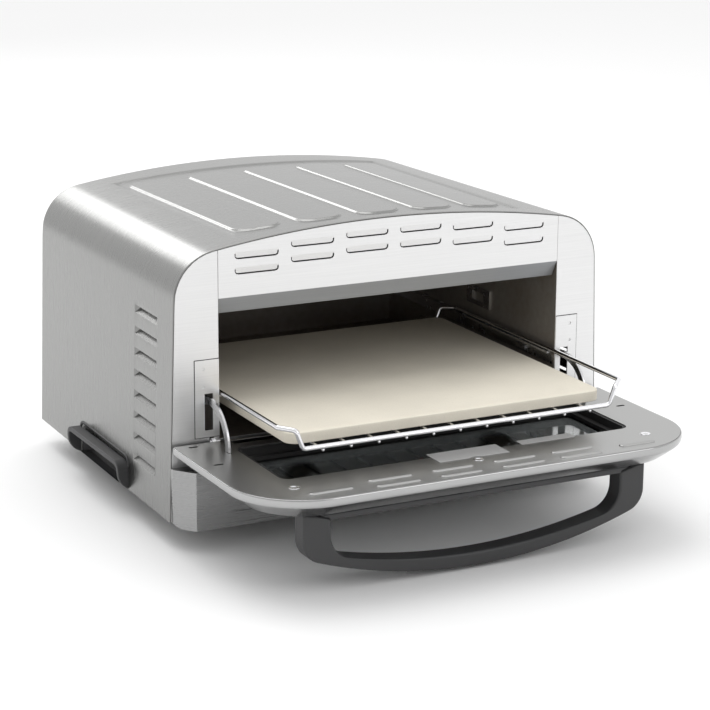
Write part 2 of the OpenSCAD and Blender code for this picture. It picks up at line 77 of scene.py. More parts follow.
class Num:
    """A shader value that takes part in Python arithmetic."""

    def __init__(self, paint: "Paint", socket: bpy.types.NodeSocket) -> None:
        """Keeps the socket and the paint that it belongs to."""
        self.paint = paint
        self.socket = socket

    def _math(self, name: str, first: object, second: object) -> "Num":
        """Adds one Math node and returns its result."""
        made = self.paint.node("ShaderNodeMath", {"operation": name}, {0: first, 1: second})
        return Num(self.paint, made.outputs[0])

    def __add__(self, other: object) -> "Num":
        """Sum of two values."""
        return self._math("ADD", self, other)

    __radd__ = __add__

    def __sub__(self, other: object) -> "Num":
        """Difference of two values."""
        return self._math("SUBTRACT", self, other)

    def __rsub__(self, other: object) -> "Num":
        """A number less this value."""
        return self._math("SUBTRACT", other, self)

    def __mul__(self, other: object) -> "Num":
        """Product of two values."""
        return self._math("MULTIPLY", self, other)

    __rmul__ = __mul__

    def above(self, edge: float, width: float) -> "Num":
        """0 below edge and 1 above edge + width, with a straight ramp between."""
        made = self.paint.node(
            "ShaderNodeMapRange", {"clamp": True}, {0: self, 1: edge, 2: edge + width, 3: 0.0, 4: 1.0}
        )
        return Num(self.paint, made.outputs[0])


class Paint:
    """A material under construction, with its nodes."""

    def __init__(self, name: str, store: object = bpy.data.materials) -> None:
        """Starts an empty node tree.

        Args:
            name: the material's name.
            store: the collection it is made in, materials or worlds.
        """
        self.block = store.new(name)
        self.block.use_nodes = True
        self.tree = self.block.node_tree
        self.tree.nodes.clear()

    def node(self, kind: str, settings: dict, values: dict) -> bpy.types.Node:
        """Adds a node.

        Args:
            kind: the node's type name.
            settings: attributes that are set first.
            values: socket name or index to a Num or a plain value.

        Returns:
            The new node.
        """
        made = self.tree.nodes.new(kind)
        for key, value in settings.items():
            setattr(made, key, value)
        for key, value in values.items():
            if isinstance(value, Num):
                self.tree.links.new(value.socket, made.inputs[key])
            else:
                made.inputs[key].default_value = value
        return made

    def place(self, stretch: Sequence[float] = (1, 1, 1)) -> Num:
        """Object coordinates, stretched along each axis.

        Args:
            stretch: the factor along X, Y and Z.

        Returns:
            The stretched coordinates.
        """
        where = self.node("ShaderNodeTexCoord", {}, {})
        spread = self.node("ShaderNodeMapping", {}, {0: Num(self, where.outputs["Object"]), 3: stretch})
        return Num(self, spread.outputs[0])

    def noise(self, stretch: Sequence[float], scale: float, detail: float = 3.0) -> Num:
        """Cloudy noise between 0 and 1.

        Args:
            stretch: how many times finer it is along X, Y and Z.
            scale: its frequency per metre.
            detail: how many finer layers it has.

        Returns:
            The noise value.
        """
        made = self.node(
            "ShaderNodeTexNoise", {}, {"Vector": self.place(stretch), "Scale": scale, "Detail": detail}
        )
        return Num(self, made.outputs[0])

    def blend(self, share: Num, low: Sequence[float], high: Sequence[float]) -> Num:
        """Colour between two colours."""
        made = self.node(
            "ShaderNodeMix", {"data_type": "RGBA"}, {0: share, 6: (*low, 1.0), 7: (*high, 1.0)}
        )
        return Num(self, made.outputs[2])

    def bump(self, height: Num, strength: float, reach: float) -> Num:
        """Surface normal pushed about by a height."""
        made = self.node("ShaderNodeBump", {}, {"Height": height, "Strength": strength, "Distance": reach})
        return Num(self, made.outputs[0])

    def shade(self, **sockets: object) -> bpy.types.Material:
        """Ends the material with one Principled shader.

        Args:
            sockets: socket names, with _ for a space, and their values.

        Returns:
            The finished material.
        """
        named = {key.replace("_", " "): value for key, value in sockets.items()}
        made = self.node("ShaderNodeBsdfPrincipled", {}, named)
        out = self.node("ShaderNodeOutputMaterial", {}, {})
        self.tree.links.new(made.outputs[0], out.inputs[0])
        return self.block


@dataclass(frozen=True)
class BrushedSteel:
    """Stainless sheet with fine parallel scratches."""

    name: str
    slot: str
    tint: tuple[float, float, float]
    rough: float
    brush: Brush
    streak: float = 0.10
    metal: float = 1.0

    def make(self) -> bpy.types.Material:
        """Streaks are noise drawn out along the brushing; they vary tint, roughness and normal.

        Returns:
            The finished material.
        """
        paint = Paint(self.name)
        fine = paint.noise(self.brush.value, 2.6, 4.0)
        broad = paint.noise(tuple(v * 0.22 for v in self.brush.value), 1.0, 2.0)
        cloud = paint.noise((1, 1, 1), 9.0, 2.0)
        share = fine * 0.7 + broad * 0.22 + cloud * 0.08
        low = tuple(c * (1 - self.streak) for c in self.tint)
        high = tuple(min(1.0, c * (1 + self.streak)) for c in self.tint)
        return paint.shade(
            Base_Color=paint.blend(share.above(0.3, 0.4), low, high),
            Metallic=self.metal,
            Roughness=(share - 0.5) * 0.25 + self.rough,
            Normal=paint.bump(fine, 0.045, 0.0002),
        )


@dataclass(frozen=True)
class BrightMetal:
    """Plated or polished metal with faint unevenness."""

    name: str
    slot: str
    tint: tuple[float, float, float]
    rough: float

    def make(self) -> bpy.types.Material:
        """Soft clouds of dullness over a bright surface.

        Returns:
            The finished material.
        """
        paint = Paint(self.name)
        cloud = paint.noise((1, 1, 1), 60.0, 4.0)
        low = tuple(c * 0.93 for c in self.tint)
        return paint.shade(
            Base_Color=paint.blend(cloud, low, self.tint),
            Metallic=1.0,
            Roughness=cloud * 0.12 + self.rough,
            Normal=paint.bump(cloud, 0.05, 0.0003),
        )


@dataclass(frozen=True)
class MouldedPlastic:
    """Satin moulded plastic or rubber with a fine spark-eroded grain."""

    name: str
    slot: str
    tint: tuple[float, float, float]
    rough: float
    grain: float = 2200.0

    def make(self) -> bpy.types.Material:
        """A fine grain in the normal, and slow changes in dullness.

        Returns:
            The finished material.
        """
        paint = Paint(self.name)
        grain = paint.noise((1, 1, 1), self.grain, 2.0)
        cloud = paint.noise((1, 1, 1), 18.0, 3.0)
        high = tuple(c * 1.25 for c in self.tint)
        return paint.shade(
            Base_Color=paint.blend(cloud, self.tint, high),
            Roughness=cloud * 0.12 + grain * 0.06 + self.rough,
            Normal=paint.bump(grain, 0.15, 0.00015),
        )


@dataclass(frozen=True)
class ChamberSteel:
    """Oven chamber sheet, browned by heat in scattered patches."""

    name: str
    slot: str
    tint: tuple[float, float, float]
    burnt: tuple[float, float, float]

    def make(self) -> bpy.types.Material:
        """Heat colour grows with noise patches; the surface stays half metallic.

        Returns:
            The finished material.
        """
        paint = Paint(self.name)
        patch = paint.noise((1, 1, 1), 7.0, 5.0)
        fine = paint.noise((1, 1, 1), 140.0, 4.0)
        share = (patch * 0.8 + fine * 0.2).above(0.35, 0.35)
        return paint.shade(
            Base_Color=paint.blend(share, self.tint, self.burnt),
            Metallic=0.5,
            Roughness=fine * 0.2 + 0.32,
            Normal=paint.bump(fine, 0.08, 0.0004),
        )


@dataclass(frozen=True)
class BakingStone:
    """Cream cordierite with a fine granular face and faint handling marks."""

    name: str
    slot: str
    tint: tuple[float, float, float]

    def make(self) -> bpy.types.Material:
        """Grains, small dark specks and wide clouds of tone.

        Returns:
            The finished material.
        """
        paint = Paint(self.name)
        grain = paint.noise((1, 1, 1), 900.0, 5.0)
        cloud = paint.noise((1, 1, 1), 14.0, 4.0)
        speck = paint.noise((1, 1, 1), 520.0, 1.0).above(0.72, 0.04)
        low = tuple(c * 0.9 for c in self.tint)
        high = tuple(min(1.0, c * 1.06) for c in self.tint)
        share = (cloud * 0.55 + grain * 0.45 - speck * 0.3).above(0.3, 0.4)
        return paint.shade(
            Base_Color=paint.blend(share, low, high),
            Roughness=grain * 0.15 + 0.72,
            Normal=paint.bump(grain, 0.35, 0.0003),
        )


@dataclass(frozen=True)
class TintedGlass:
    """Dark door glass."""

    name: str
    slot: str
    tint: tuple[float, float, float]

    def make(self) -> bpy.types.Material:
        """Clear glass with a smoky tint and a trace of haze.

        Returns:
            The finished material.
        """
        paint = Paint(self.name)
        haze = paint.noise((1, 1, 1), 12.0, 3.0)
        return paint.shade(
            Base_Color=(*self.tint, 1.0),
            Roughness=haze.above(0.5, 0.5) * 0.06 + 0.02,
            IOR=1.5,
            Transmission_Weight=1.0,
        )


@dataclass(frozen=True)
class WoolBlanket:
    """Dark fibrous insulation felt."""

    name: str
    slot: str
    tint: tuple[float, float, float]

    def make(self) -> bpy.types.Material:
        """Fibre noise in colour and normal.

        Returns:
            The finished material.
        """
        paint = Paint(self.name)
        fibre = paint.noise((1, 6, 1), 220.0, 5.0)
        return paint.shade(
            Base_Color=paint.blend(fibre, tuple(c * 0.7 for c in self.tint), self.tint),
            Roughness=fibre * 0.1 + 0.85,
            Normal=paint.bump(fibre, 0.6, 0.002),
        )


BODY_STEEL = BrushedSteel("steel_body", "shell_steel", (0.265, 0.265, 0.26), 0.28, Brush.ROUND, 0.07)
FRONT_STEEL = BrushedSteel("steel_front", "front_steel", (0.78, 0.78, 0.78), 0.36, Brush.LEVEL, 0.04)
HOUSE_STEEL = BrushedSteel("steel_housing", "shell_steel", (0.34, 0.34, 0.34), 0.28, Brush.LEVEL, 0.03)
LIP_STEEL = BrushedSteel("steel_lip", "front_steel", (0.30, 0.31, 0.325), 0.4, Brush.LEVEL, 0.05, 0.3)
DOOR_STEEL = BrushedSteel("steel_door", "front_steel", (0.40, 0.40, 0.395), 0.34, Brush.DEEP, 0.05)
RIM_STEEL = BrushedSteel("steel_rim", "front_steel", (0.44, 0.44, 0.44), 0.2, Brush.LEVEL, 0.05)
PILL_STEEL = BrightMetal("steel_hood", "front_steel", (0.40, 0.40, 0.395), 0.30)
PLATE_STEEL = BrushedSteel("steel_plate", "front_steel", (0.42, 0.42, 0.42), 0.4, Brush.LEVEL, 0.04, 0.3)
CHROME = BrightMetal("bright_wire", "bright_wire", (0.86, 0.86, 0.88), 0.08)
FIXING = BrightMetal("bright_fixing", "bright_wire", (0.66, 0.66, 0.67), 0.2)
BLACK = MouldedPlastic("black_grip", "black_plastic", (0.032, 0.032, 0.033), 0.4)
# Black rubber of the glass gasket; the same dark colour also paints the shadow gaps round the hinge covers.
RUBBER_AND_GAP_SHADE = MouldedPlastic("black_seal", "gasket_rubber", (0.018, 0.018, 0.018), 0.5)
FOOT = MouldedPlastic("black_foot", "foot_rubber", (0.03, 0.03, 0.03), 0.6)
LAMP = MouldedPlastic("red_lens", "lamp_red", (0.5, 0.03, 0.02), 0.12, 300.0)
CHAMBER = ChamberSteel("chamber_wall", "dark_steel", (0.30, 0.28, 0.255), (0.17, 0.13, 0.10))
ELEMENT = ChamberSteel("element_sheath", "dark_steel", (0.10, 0.095, 0.09), (0.05, 0.04, 0.035))
STONE = BakingStone("stone_face", "cordierite", (0.80, 0.75, 0.64))
GLASS = TintedGlass("door_pane", "door_glass", (0.58, 0.60, 0.60))
WOOL = WoolBlanket("wool_pad", "insulation", (0.05, 0.047, 0.042))


# ---------------------------------------------------------------- surfaces


def quads(rows: int, cols: int, loop_rows: bool = False, loop_cols: bool = False) -> Points:
    """Quads of a grid of rows x cols points, closed on itself where a loop is asked for.

    Args:
        rows: number of rows.
        cols: number of columns.
        loop_rows: True if the last row joins the first.
        loop_cols: True if the last column joins the first.

    Returns:
        An array of four point numbers for each face.
    """
    i = np.arange(rows if loop_rows else rows - 1)[:, None]
    j = np.arange(cols if loop_cols else cols - 1)[None, :]
    i2 = (i + 1) % rows
    j2 = (j + 1) % cols
    corners = [i * cols + j, i2 * cols + j, i2 * cols + j2, i * cols + j2]
    return np.stack([np.broadcast_to(c, (i.size, j.size)) for c in corners], -1).reshape(-1, 4)


def join(parts: Iterable[tuple[Points, Faces]]) -> tuple[Points, Faces]:
    """Several surfaces as one list of points and faces.

    Args:
        parts: the surfaces, each with points and faces.

    Returns:
        Points and faces.
    """
    points, faces, base = [], [], 0
    for p, f in parts:
        p = np.asarray(p, float).reshape(-1, 3)
        points.append(p)
        faces.extend([tuple(int(k) + base for k in face) for face in f])
        base += len(p)
    return np.concatenate(points), faces


def grid(points: Points, loop_rows: bool = False, loop_cols: bool = False, caps: bool = False) -> tuple:
    """A rows x cols x 3 array as a surface.

    Args:
        points: the grid's points.
        loop_rows: True if rows close.
        loop_cols: True if columns close.
        caps: True to close the first and last row with a flat face.

    Returns:
        Points and faces.
    """
    rows, cols = points.shape[:2]
    faces = [tuple(f) for f in quads(rows, cols, loop_rows, loop_cols)]
    if caps:
        faces.append(tuple(range(cols)))
        faces.append(tuple(range(rows * cols - 1, (rows - 1) * cols - 1, -1)))
    return points.reshape(-1, 3), faces


def arc(cx: float, cy: float, r: float, start: float, end: float, steps: int) -> Points:
    """Points on a circle's arc: centre plus radius times (cos, sin) of evenly spaced angles."""
    a = np.radians(np.linspace(start, end, steps + 1))
    return np.stack([cx + r * np.cos(a), cy + r * np.sin(a)], -1)


def soft_loop(x0: float, x1: float, y0: float, y1: float, radii: Sequence[float], steps: int = 12) -> Points:
    """A rectangle with four round corners, counter-clockwise from the lower right corner.

    Args:
        x0: left side.
        x1: right side.
        y0: lower side.
        y1: upper side.
        radii: corner radii, from the lower right round to the lower left.
        steps: pieces in each corner's arc.

    Returns:
        An array of 2D points.
    """
    a, b, c, d = (max(r, 0.2) for r in radii)
    return np.concatenate(
        [
            arc(x1 - a, y0 + a, a, -90, 0, steps),
            arc(x1 - b, y1 - b, b, 0, 90, steps),
            arc(x0 + c, y1 - c, c, 90, 180, steps),
            arc(x0 + d, y0 + d, d, 180, 270, steps),
        ]
    )


def stacked(
    loop: Callable[[float], Points], profile: Sequence[tuple[float, float]], caps: bool = True
) -> tuple[Points, Faces]:
    """A loop carried along a profile of (inset, height) pairs.

    Args:
        loop: gives the loop's 2D points for an inset.
        profile: the inset and height of each ring, from the bottom up.
        caps: True to close both ends.

    Returns:
        Points and faces.
    """
    rings = [np.column_stack([loop(t), np.full(len(loop(t)), z)]) for t, z in profile]
    return grid(np.stack(rings), loop_cols=True, caps=caps)


def rounded_path(
    corners: Sequence[Sequence[float]], radius: Sequence[float], closed: bool, steps: int = 8
) -> Points:
    """A bent line whose corners are arcs that touch both of their straights.

    The arc starts radius * tan(half the turn) before the corner and turns in the corner's plane.

    Args:
        corners: the corners' points.
        radius: each corner's bend radius; the ends of an open line ignore theirs.
        closed: True if the line is a loop.
        steps: pieces in each bend.

    Returns:
        The line's points.
    """
    pts = np.asarray(corners, float)
    count = len(pts)
    line = []
    for k in range(count):
        here = pts[k]
        if not closed and k in (0, count - 1):
            line.append(here[None])
            continue
        back = pts[k - 1] - here
        ahead = pts[(k + 1) % count] - here
        back /= np.linalg.norm(back)
        ahead /= np.linalg.norm(ahead)
        half = math.acos(np.clip(back @ ahead, -1, 1)) / 2
        r = radius[k]
        middle = back + ahead
        middle /= np.linalg.norm(middle)
        centre = here + middle * (r / math.sin(half))
        first = here + back * (r / math.tan(half)) - centre
        last = here + ahead * (r / math.tan(half)) - centre
        turn = math.pi - 2 * half
        t = np.linspace(0, 1, steps + 1)[:, None]
        line.append(centre + (first * np.sin((1 - t) * turn) + last * np.sin(t * turn)) / math.sin(turn))
    return np.concatenate(line)


def swept(path: Points, section: Points, side: Sequence[float], closed: bool = False) -> tuple:
    """A section carried along a path without twisting.

    Args:
        path: the path's points.
        section: 2D points, the first number across the path and the second along side.
        side: which way the section's second axis points at the start.
        closed: True if the path is a loop.

    Returns:
        Points and faces.
    """
    along = np.roll(path, -1, 0) - np.roll(path, 1, 0) if closed else np.gradient(path, axis=0)
    along /= np.linalg.norm(along, axis=1)[:, None]
    up = np.asarray(side, float)
    rings = []
    for k in range(len(path)):
        up = up - along[k] * (up @ along[k])
        up /= np.linalg.norm(up)
        across = np.cross(along[k], up)
        rings.append(path[k] + section[:, :1] * across + section[:, 1:] * up)
    return grid(np.stack(rings), loop_rows=closed, loop_cols=True, caps=not closed)


def circle(r: float, sides: int = 14) -> Points:
    """A closed circle of points."""
    a = np.arange(sides) * 2 * math.pi / sides
    return np.stack([r * np.cos(a), r * np.sin(a)], -1)


def block(x0: float, x1: float, y0: float, y1: float, z0: float, z1: float, r: float) -> tuple:
    """A box with rounded edges: a small sphere's points pushed out to the eight corners.

    Args:
        x0, x1: its left and right sides.
        y0, y1: its front and back.
        z0, z1: its bottom and top.
        r: edge radius.

    Returns:
        Points and faces.
    """
    steps = 3
    q = np.linspace(0, 90, steps + 1)
    lon = np.radians(np.concatenate([q, q + 90, q + 180, q + 270]))
    lat = np.radians(np.concatenate([q - 90, q]))
    sx = np.repeat([1, -1, -1, 1], steps + 1)
    sy = np.repeat([1, 1, -1, -1], steps + 1)
    sz = np.repeat([-1, 1], steps + 1)
    cx, cy, cz = (x0 + x1) / 2, (y0 + y1) / 2, (z0 + z1) / 2
    hx, hy, hz = ((x1 - x0) / 2 - r, (y1 - y0) / 2 - r, (z1 - z0) / 2 - r)
    x = cx + sx[None] * hx + r * np.cos(lat)[:, None] * np.cos(lon)[None]
    y = cy + sy[None] * hy + r * np.cos(lat)[:, None] * np.sin(lon)[None]
    z = np.broadcast_to(cz + sz[:, None] * hz + r * np.sin(lat)[:, None], x.shape)
    return grid(np.stack([x, y, z], -1)[::-1], loop_cols=True, caps=True)


def turned(
    profile: Sequence[tuple[float, float]], sides: int = 48, flutes: int = 0, deep: float = 0
) -> Points:
    """Rings of (radius, height) round Z; flutes make the radius wave by deep.

    Args:
        profile: each ring's radius and height.
        sides: points in a ring.
        flutes: waves in a turn, or 0.
        deep: the wave's share of the radius.

    Returns:
        A rings x sides x 3 array.
    """
    a = np.arange(sides) * 2 * math.pi / sides
    wave = 1 + deep * np.cos(flutes * a) if flutes else np.ones(sides)
    rings = []
    for r, z in profile:
        reach = r * (wave if r > 1 else 1)
        rings.append(np.stack([reach * np.cos(a), reach * np.sin(a), np.full(sides, z)], -1))
    return np.stack(rings)


def smooth_step(edge0: float, edge1: float, value: Points) -> Points:
    """0 before edge0, 1 after edge1, with a level start and end."""
    t = np.clip((value - edge0) / (edge1 - edge0), 0, 1)
    return t * t * (3 - 2 * t)


# ---------------------------------------------------------------- the shop floor


@dataclass
class Shop:
    """Turns surfaces into pieces on the frame and hands out materials."""

    front_y: float
    sill_z: float

    def __post_init__(self) -> None:
        """Starts with no materials made."""
        self.paints: dict[str, bpy.types.Material] = {}

    def material(self, finish: object) -> bpy.types.Material:
        """The finish's material, made once."""
        if finish.name not in self.paints:
            self.paints[finish.name] = finish.make()
        return self.paints[finish.name]

    def metres(self, points: Points) -> Points:
        """Drawing millimetres to frame metres."""
        return np.asarray(points, float) * MM + np.array([0, self.front_y, self.sill_z])

    def piece(
        self,
        name: str,
        surface: tuple[Points, Faces],
        finish: object,
        body: str,
        replaces: Sequence[str] = (),
        wall: float = 0,
        flat: bool = False,
        bevel: float = 0,
    ) -> bpy.types.Object:
        """Makes one piece.

        Args:
            name: the piece's name.
            surface: points in drawing millimetres, and faces.
            finish: what it is made of.
            body: the moving body that it rides on.
            replaces: CAD nodes that it stands for.
            wall: sheet thickness in millimetres, or 0 for a closed form.
            flat: True for faceted shading.
            bevel: edge rounding in millimetres.

        Returns:
            The new object.
        """
        points, faces = surface
        mesh = bpy.data.meshes.new(name)
        mesh.from_pydata(self.metres(points).tolist(), [], [tuple(map(int, f)) for f in faces])
        mesh.validate()
        work = bmesh.new()
        work.from_mesh(mesh)
        bmesh.ops.remove_doubles(work, verts=work.verts, dist=2e-6)
        if not wall:
            bmesh.ops.recalc_face_normals(work, faces=work.faces)
        work.to_mesh(mesh)
        work.free()
        made = bpy.data.objects.new(name, mesh)
        bpy.context.scene.collection.objects.link(made)
        mesh.materials.append(self.material(finish))
        self.finish_edges(made, wall, flat, bevel)
        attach(made, body)
        if replaces:
            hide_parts(*replaces)
        LOG.info("%s: %d faces on %s", name, len(mesh.polygons), body)
        return made

    def finish_edges(self, made: bpy.types.Object, wall: float, flat: bool, bevel: float) -> None:
        """Adds wall thickness, rounded edges and weighted normals to a piece.

        Args:
            made: the piece.
            wall: sheet thickness in millimetres, or 0.
            flat: True for faceted shading.
            bevel: edge rounding in millimetres.
        """
        if wall:
            thick = made.modifiers.new("wall", "SOLIDIFY")
            thick.thickness = wall * MM
            thick.offset = -1
        if bevel:
            rounded = made.modifiers.new("edges", "BEVEL")
            rounded.width = bevel * MM
            rounded.segments = 2
            rounded.limit_method = "ANGLE"
            rounded.angle_limit = math.radians(35)
        if not flat:
            made.data.polygons.foreach_set("use_smooth", np.ones(len(made.data.polygons), bool))
            made.data.update()
            even = made.modifiers.new("shading", "WEIGHTED_NORMAL")
            even.keep_sharp = True

    def soften(self, node: str, finish: object, body: str, bevel: float = 0.5) -> bpy.types.Object:
        """A merged copy of a CAD node with rounded edges, which stands for the node.

        Args:
            node: the CAD node's name.
            finish: what it is made of.
            body: the body that it rides on.
            bevel: edge rounding in millimetres.

        Returns:
            The new object.
        """
        name = node + "_dressed"
        work = bmesh.new()
        work.from_mesh(frame["nodes"][node].data)
        bmesh.ops.remove_doubles(work, verts=work.verts, dist=1e-6)
        bmesh.ops.dissolve_limit(work, angle_limit=math.radians(0.5), verts=work.verts, edges=work.edges)
        for edge in work.edges:
            if len(edge.link_faces) == 2 and edge.calc_face_angle(0) > math.radians(38):
                edge.smooth = False
        mesh = bpy.data.meshes.new(name)
        work.to_mesh(mesh)
        work.free()
        mesh.materials.append(self.material(finish))
        made = bpy.data.objects.new(name, mesh)
        bpy.context.scene.collection.objects.link(made)
        self.finish_edges(made, 0, False, bevel)
        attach(made, body)
        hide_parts(node)
        LOG.info("%s softened", node)
        return made

    def dress(self, finish: object, *nodes: str) -> None:
        """Gives CAD nodes a finish."""
        for node in nodes:
            slots = frame["nodes"][node].data.materials
            slots.clear()
            slots.append(self.material(finish))
            LOG.info("%s dressed as %s", node, finish.name)


# ---------------------------------------------------------------- the body


@dataclass
class Body:
    """The steel body: domed wrapper, front, vents, carry grips, controls and feet."""

    shop: Shop
    half_w: float
    depth: float
    crown: float
    low: float
    corner_r: float = 49.5
    dome_r: float = 1150.0
    back_drop: float = 5.5
    lean: float = 0.0335
    taper: float = 0.0179
    side_w: float = 50.9
    sheet: float = 1.2
    groove_y: tuple[float, float] = (41.0, 101.0)
    groove_deep: float = 5.0
    grooves: int = 8
    pad_x: tuple[float, ...] = (-127.0, -63.5, 0.0, 63.5, 127.0)
    pad_half: float = 23.0
    pad_y: tuple[float, float] = (26.0, 318.0)
    pad_r: float = 15.0
    pad_rise: float = 1.6
    hold_y: tuple[float, float] = (112.0, 260.5)
    hold_top: float = -48.5
    hold_out: float = 12.3

    @property
    def mouth_x(self) -> float:
        """Half the width of the oven's mouth."""
        return self.half_w - self.side_w

    @property
    def mouth_z(self) -> float:
        """Height of the mouth's upper edge."""
        return self.crown - 64.3

    def side_x(self, y: object, z: object) -> object:
        """Half width of the leaning, tapering side at a depth and a height."""
        return self.half_w - self.lean * z - self.taper * y

    def corner(self, y: Points) -> tuple[Points, Points, Points]:
        """Centre of the long corner's arc at depth y, and the angle where it meets the dome.

        Args:
            y: depths.

        Returns:
            The centre's x and z, and the angle, for each depth.
        """
        cx = self.half_w - self.lean * 140 - self.corner_r - self.taper * y
        top = self.crown - self.back_drop * y / self.depth
        cz = top - self.dome_r + np.sqrt((self.dome_r - self.corner_r) ** 2 - cx**2)
        return cx, cz, np.arccos(cx / (self.dome_r - self.corner_r))

    def groove_lines(self) -> list[tuple[float, float]]:
        """Lower and upper edges of the side grooves."""
        pitch = (self.crown - 52) / (self.grooves - 1)
        return [(self.crown - 95 - i * pitch, self.crown - 87 - i * pitch) for i in range(self.grooves)]

    def pad_lines(self) -> Points:
        """Distances from the middle plane, close together where a pad has an edge or a corner.

        Returns:
            The distances, from the middle outwards.
        """
        lines = [np.arange(0, 161, 3.0)]
        for centre in self.pad_x:
            for edge in (centre - self.pad_half, centre + self.pad_half):
                inward = math.copysign(1, centre - edge)
                span = sorted((edge - 2.5 * inward, edge + 15 * inward))
                if span[1] > 0:
                    lines.append(np.arange(max(span[0], 0), span[1], 0.75))
        merged = np.unique(np.concatenate(lines))
        keep = np.concatenate([[True], np.diff(merged) > 0.35])
        return merged[keep]

    def half_section(self, y: Points) -> tuple[Points, Points, Points, Points]:
        """Right half of the wrapper's section at each depth.

        The side is a straight line, the corner an arc of corner_r, and the dome an arc of dome_r
        that runs from the corner to the middle.

        Args:
            y: depths.

        Returns:
            x, z and the normal at every point, and the heights of the side's lines.
        """
        edges = [z for pair in self.groove_lines() for z in pair]
        heights = np.unique(np.round([self.low, -65, self.hold_top - 3.5, *edges, 122], 3))
        cx, cz, meet = self.corner(y)
        a0 = math.atan(self.lean)
        sx = self.side_x(y[:, None], heights[None])
        sz = np.broadcast_to(heights, sx.shape)
        turn = a0 + (meet[:, None] - a0) * np.linspace(0, 1, 15)[None]
        ax = cx[:, None] + self.corner_r * np.cos(turn)
        az = cz[:, None] + self.corner_r * np.sin(turn)
        reach = self.dome_r * np.cos(meet)
        inner = self.pad_lines()
        last = np.linspace(0.15, 0.85, 4)[None] * (reach[:, None] - inner[-1]) + inner[-1]
        dx = np.concatenate([last[:, ::-1], np.broadcast_to(inner[::-1], (len(y), len(inner)))], 1)
        top = self.crown - self.back_drop * y / self.depth
        dz = top[:, None] - self.dome_r + np.sqrt(self.dome_r**2 - dx**2)
        dn = np.stack([dx / self.dome_r, np.sqrt(1 - (dx / self.dome_r) ** 2)], -1)
        sn = np.broadcast_to([math.cos(a0), math.sin(a0)], (*sx.shape, 2))
        an = np.stack([np.cos(turn), np.sin(turn)], -1)
        x = np.concatenate([sx, ax, dx], 1)
        z = np.concatenate([sz, az, dz], 1)
        return x, z, np.concatenate([sn, an, dn], 1), heights

    def pad_height(self, x: Points, y: Points) -> Points:
        """Height of the pressed top: a sunk field with five raised pads.

        A pad is a rounded rectangle whose ends follow a shallow parabola across the oven; the
        height steps smoothly over the signed distance to its edge.

        Args:
            x: distances from the middle plane.
            y: depths.

        Returns:
            The height at each point.
        """
        bend = 15 * (x / 135) ** 2
        nearest = np.full(x.shape, 1e9)
        mid = (self.pad_y[0] + self.pad_y[1]) / 2
        half = (self.pad_y[1] - self.pad_y[0]) / 2
        for centre in self.pad_x:
            qx = np.abs(x - centre) - (self.pad_half - self.pad_r)
            qy = np.abs(y - bend - mid) - (half - self.pad_r)
            out = np.hypot(np.maximum(qx, 0), np.maximum(qy, 0)) + np.minimum(np.maximum(qx, qy), 0)
            nearest = np.minimum(nearest, out - self.pad_r)
        field = np.maximum(np.abs(x) - 158, np.maximum(15 + bend * 0.6 - y, y - bend * 0.6 - 340))
        sunk = -self.pad_rise * smooth_step(-2.5, 2.5, -field)
        return sunk + self.pad_rise * smooth_step(-1.3, 1.3, -nearest)

    def wrapper(self) -> None:
        """The one-piece wrapper, with sunk field, raised pads and openings for vents and grips."""
        dense = [
            np.arange(12, 24, 1.5),
            np.arange(24, 62, 0.95),
            np.arange(302, 340, 0.95),
            np.arange(340, 360, 2),
        ]
        marks = [0, 0.35, 0.9, 3, 10, *self.groove_y, self.hold_y[0] + 6, self.hold_y[1] - 6, self.depth]
        y = np.unique(np.round(np.concatenate([*dense, marks, np.arange(68, 300, 12), [372, 385.6]]), 2))
        x, z, n, heights = self.half_section(y)
        depth = np.broadcast_to(y[:, None], x.shape)
        lift = self.pad_height(x, depth) * (z > 150)
        roll = -0.7 * np.clip(1 - depth / 0.9, 0, 1) ** 2
        x = x + n[..., 0] * (lift + roll)
        z = z + n[..., 1] * (lift + roll)
        right = np.stack([x, depth, z], -1)
        left = right[:, -2::-1] * np.array([-1, 1, 1])
        whole = np.concatenate([right, left], 1)
        rows, cols = whole.shape[:2]
        faces = quads(rows, cols).reshape(rows - 1, cols - 1, 4)
        centre_y = (y[:-1] + y[1:]) / 2
        hs = len(heights)
        centre_z = np.full(cols - 1, 999.0)
        centre_z[: hs - 1] = (heights[:-1] + heights[1:]) / 2
        centre_z[-(hs - 1) :] = centre_z[: hs - 1][::-1]
        hole = np.zeros((rows - 1, cols - 1), bool)
        in_y = (centre_y > self.groove_y[0]) & (centre_y < self.groove_y[1])
        for z0, z1 in self.groove_lines():
            hole |= in_y[:, None] & ((centre_z > z0) & (centre_z < z1))[None]
        in_grip = (centre_y > self.hold_y[0] + 6) & (centre_y < self.hold_y[1] - 6)
        hole |= in_grip[:, None] & (centre_z < self.hold_top - 3.5)[None]
        kept = faces[~hole]
        self.shop.piece(
            "body_wrapper", (whole.reshape(-1, 3), kept), BODY_STEEL, "body", ["outer_shell"], wall=self.sheet
        )

    def side_grooves(self) -> None:
        """Pressed vents: four sloping walls that meet at a narrow slit."""
        parts = []
        y0, y1 = self.groove_y
        for side in (-1, 1):
            for z0, z1 in self.groove_lines():
                rim = np.array([[y0, z0], [y1, z0], [y1, z1], [y0, z1]])
                low, top = z1 - 3.2, z1 - 0.2
                slit = np.array([[y0 + 3, low], [y1 - 3, low], [y1 - 3, top], [y0 + 3, top]])
                ring = [
                    np.column_stack([side * (self.side_x(r[:, 0], r[:, 1]) - d), r])
                    for r, d in ((rim, 0.0), (slit, self.groove_deep))
                ]
                surface = grid(np.stack(ring), loop_cols=True)
                if side > 0:
                    surface = (surface[0], [f[::-1] for f in surface[1]])
                parts.append(surface)
        self.shop.piece("side_vent_grooves", join(parts), BODY_STEEL, "body", wall=0.4, flat=True)

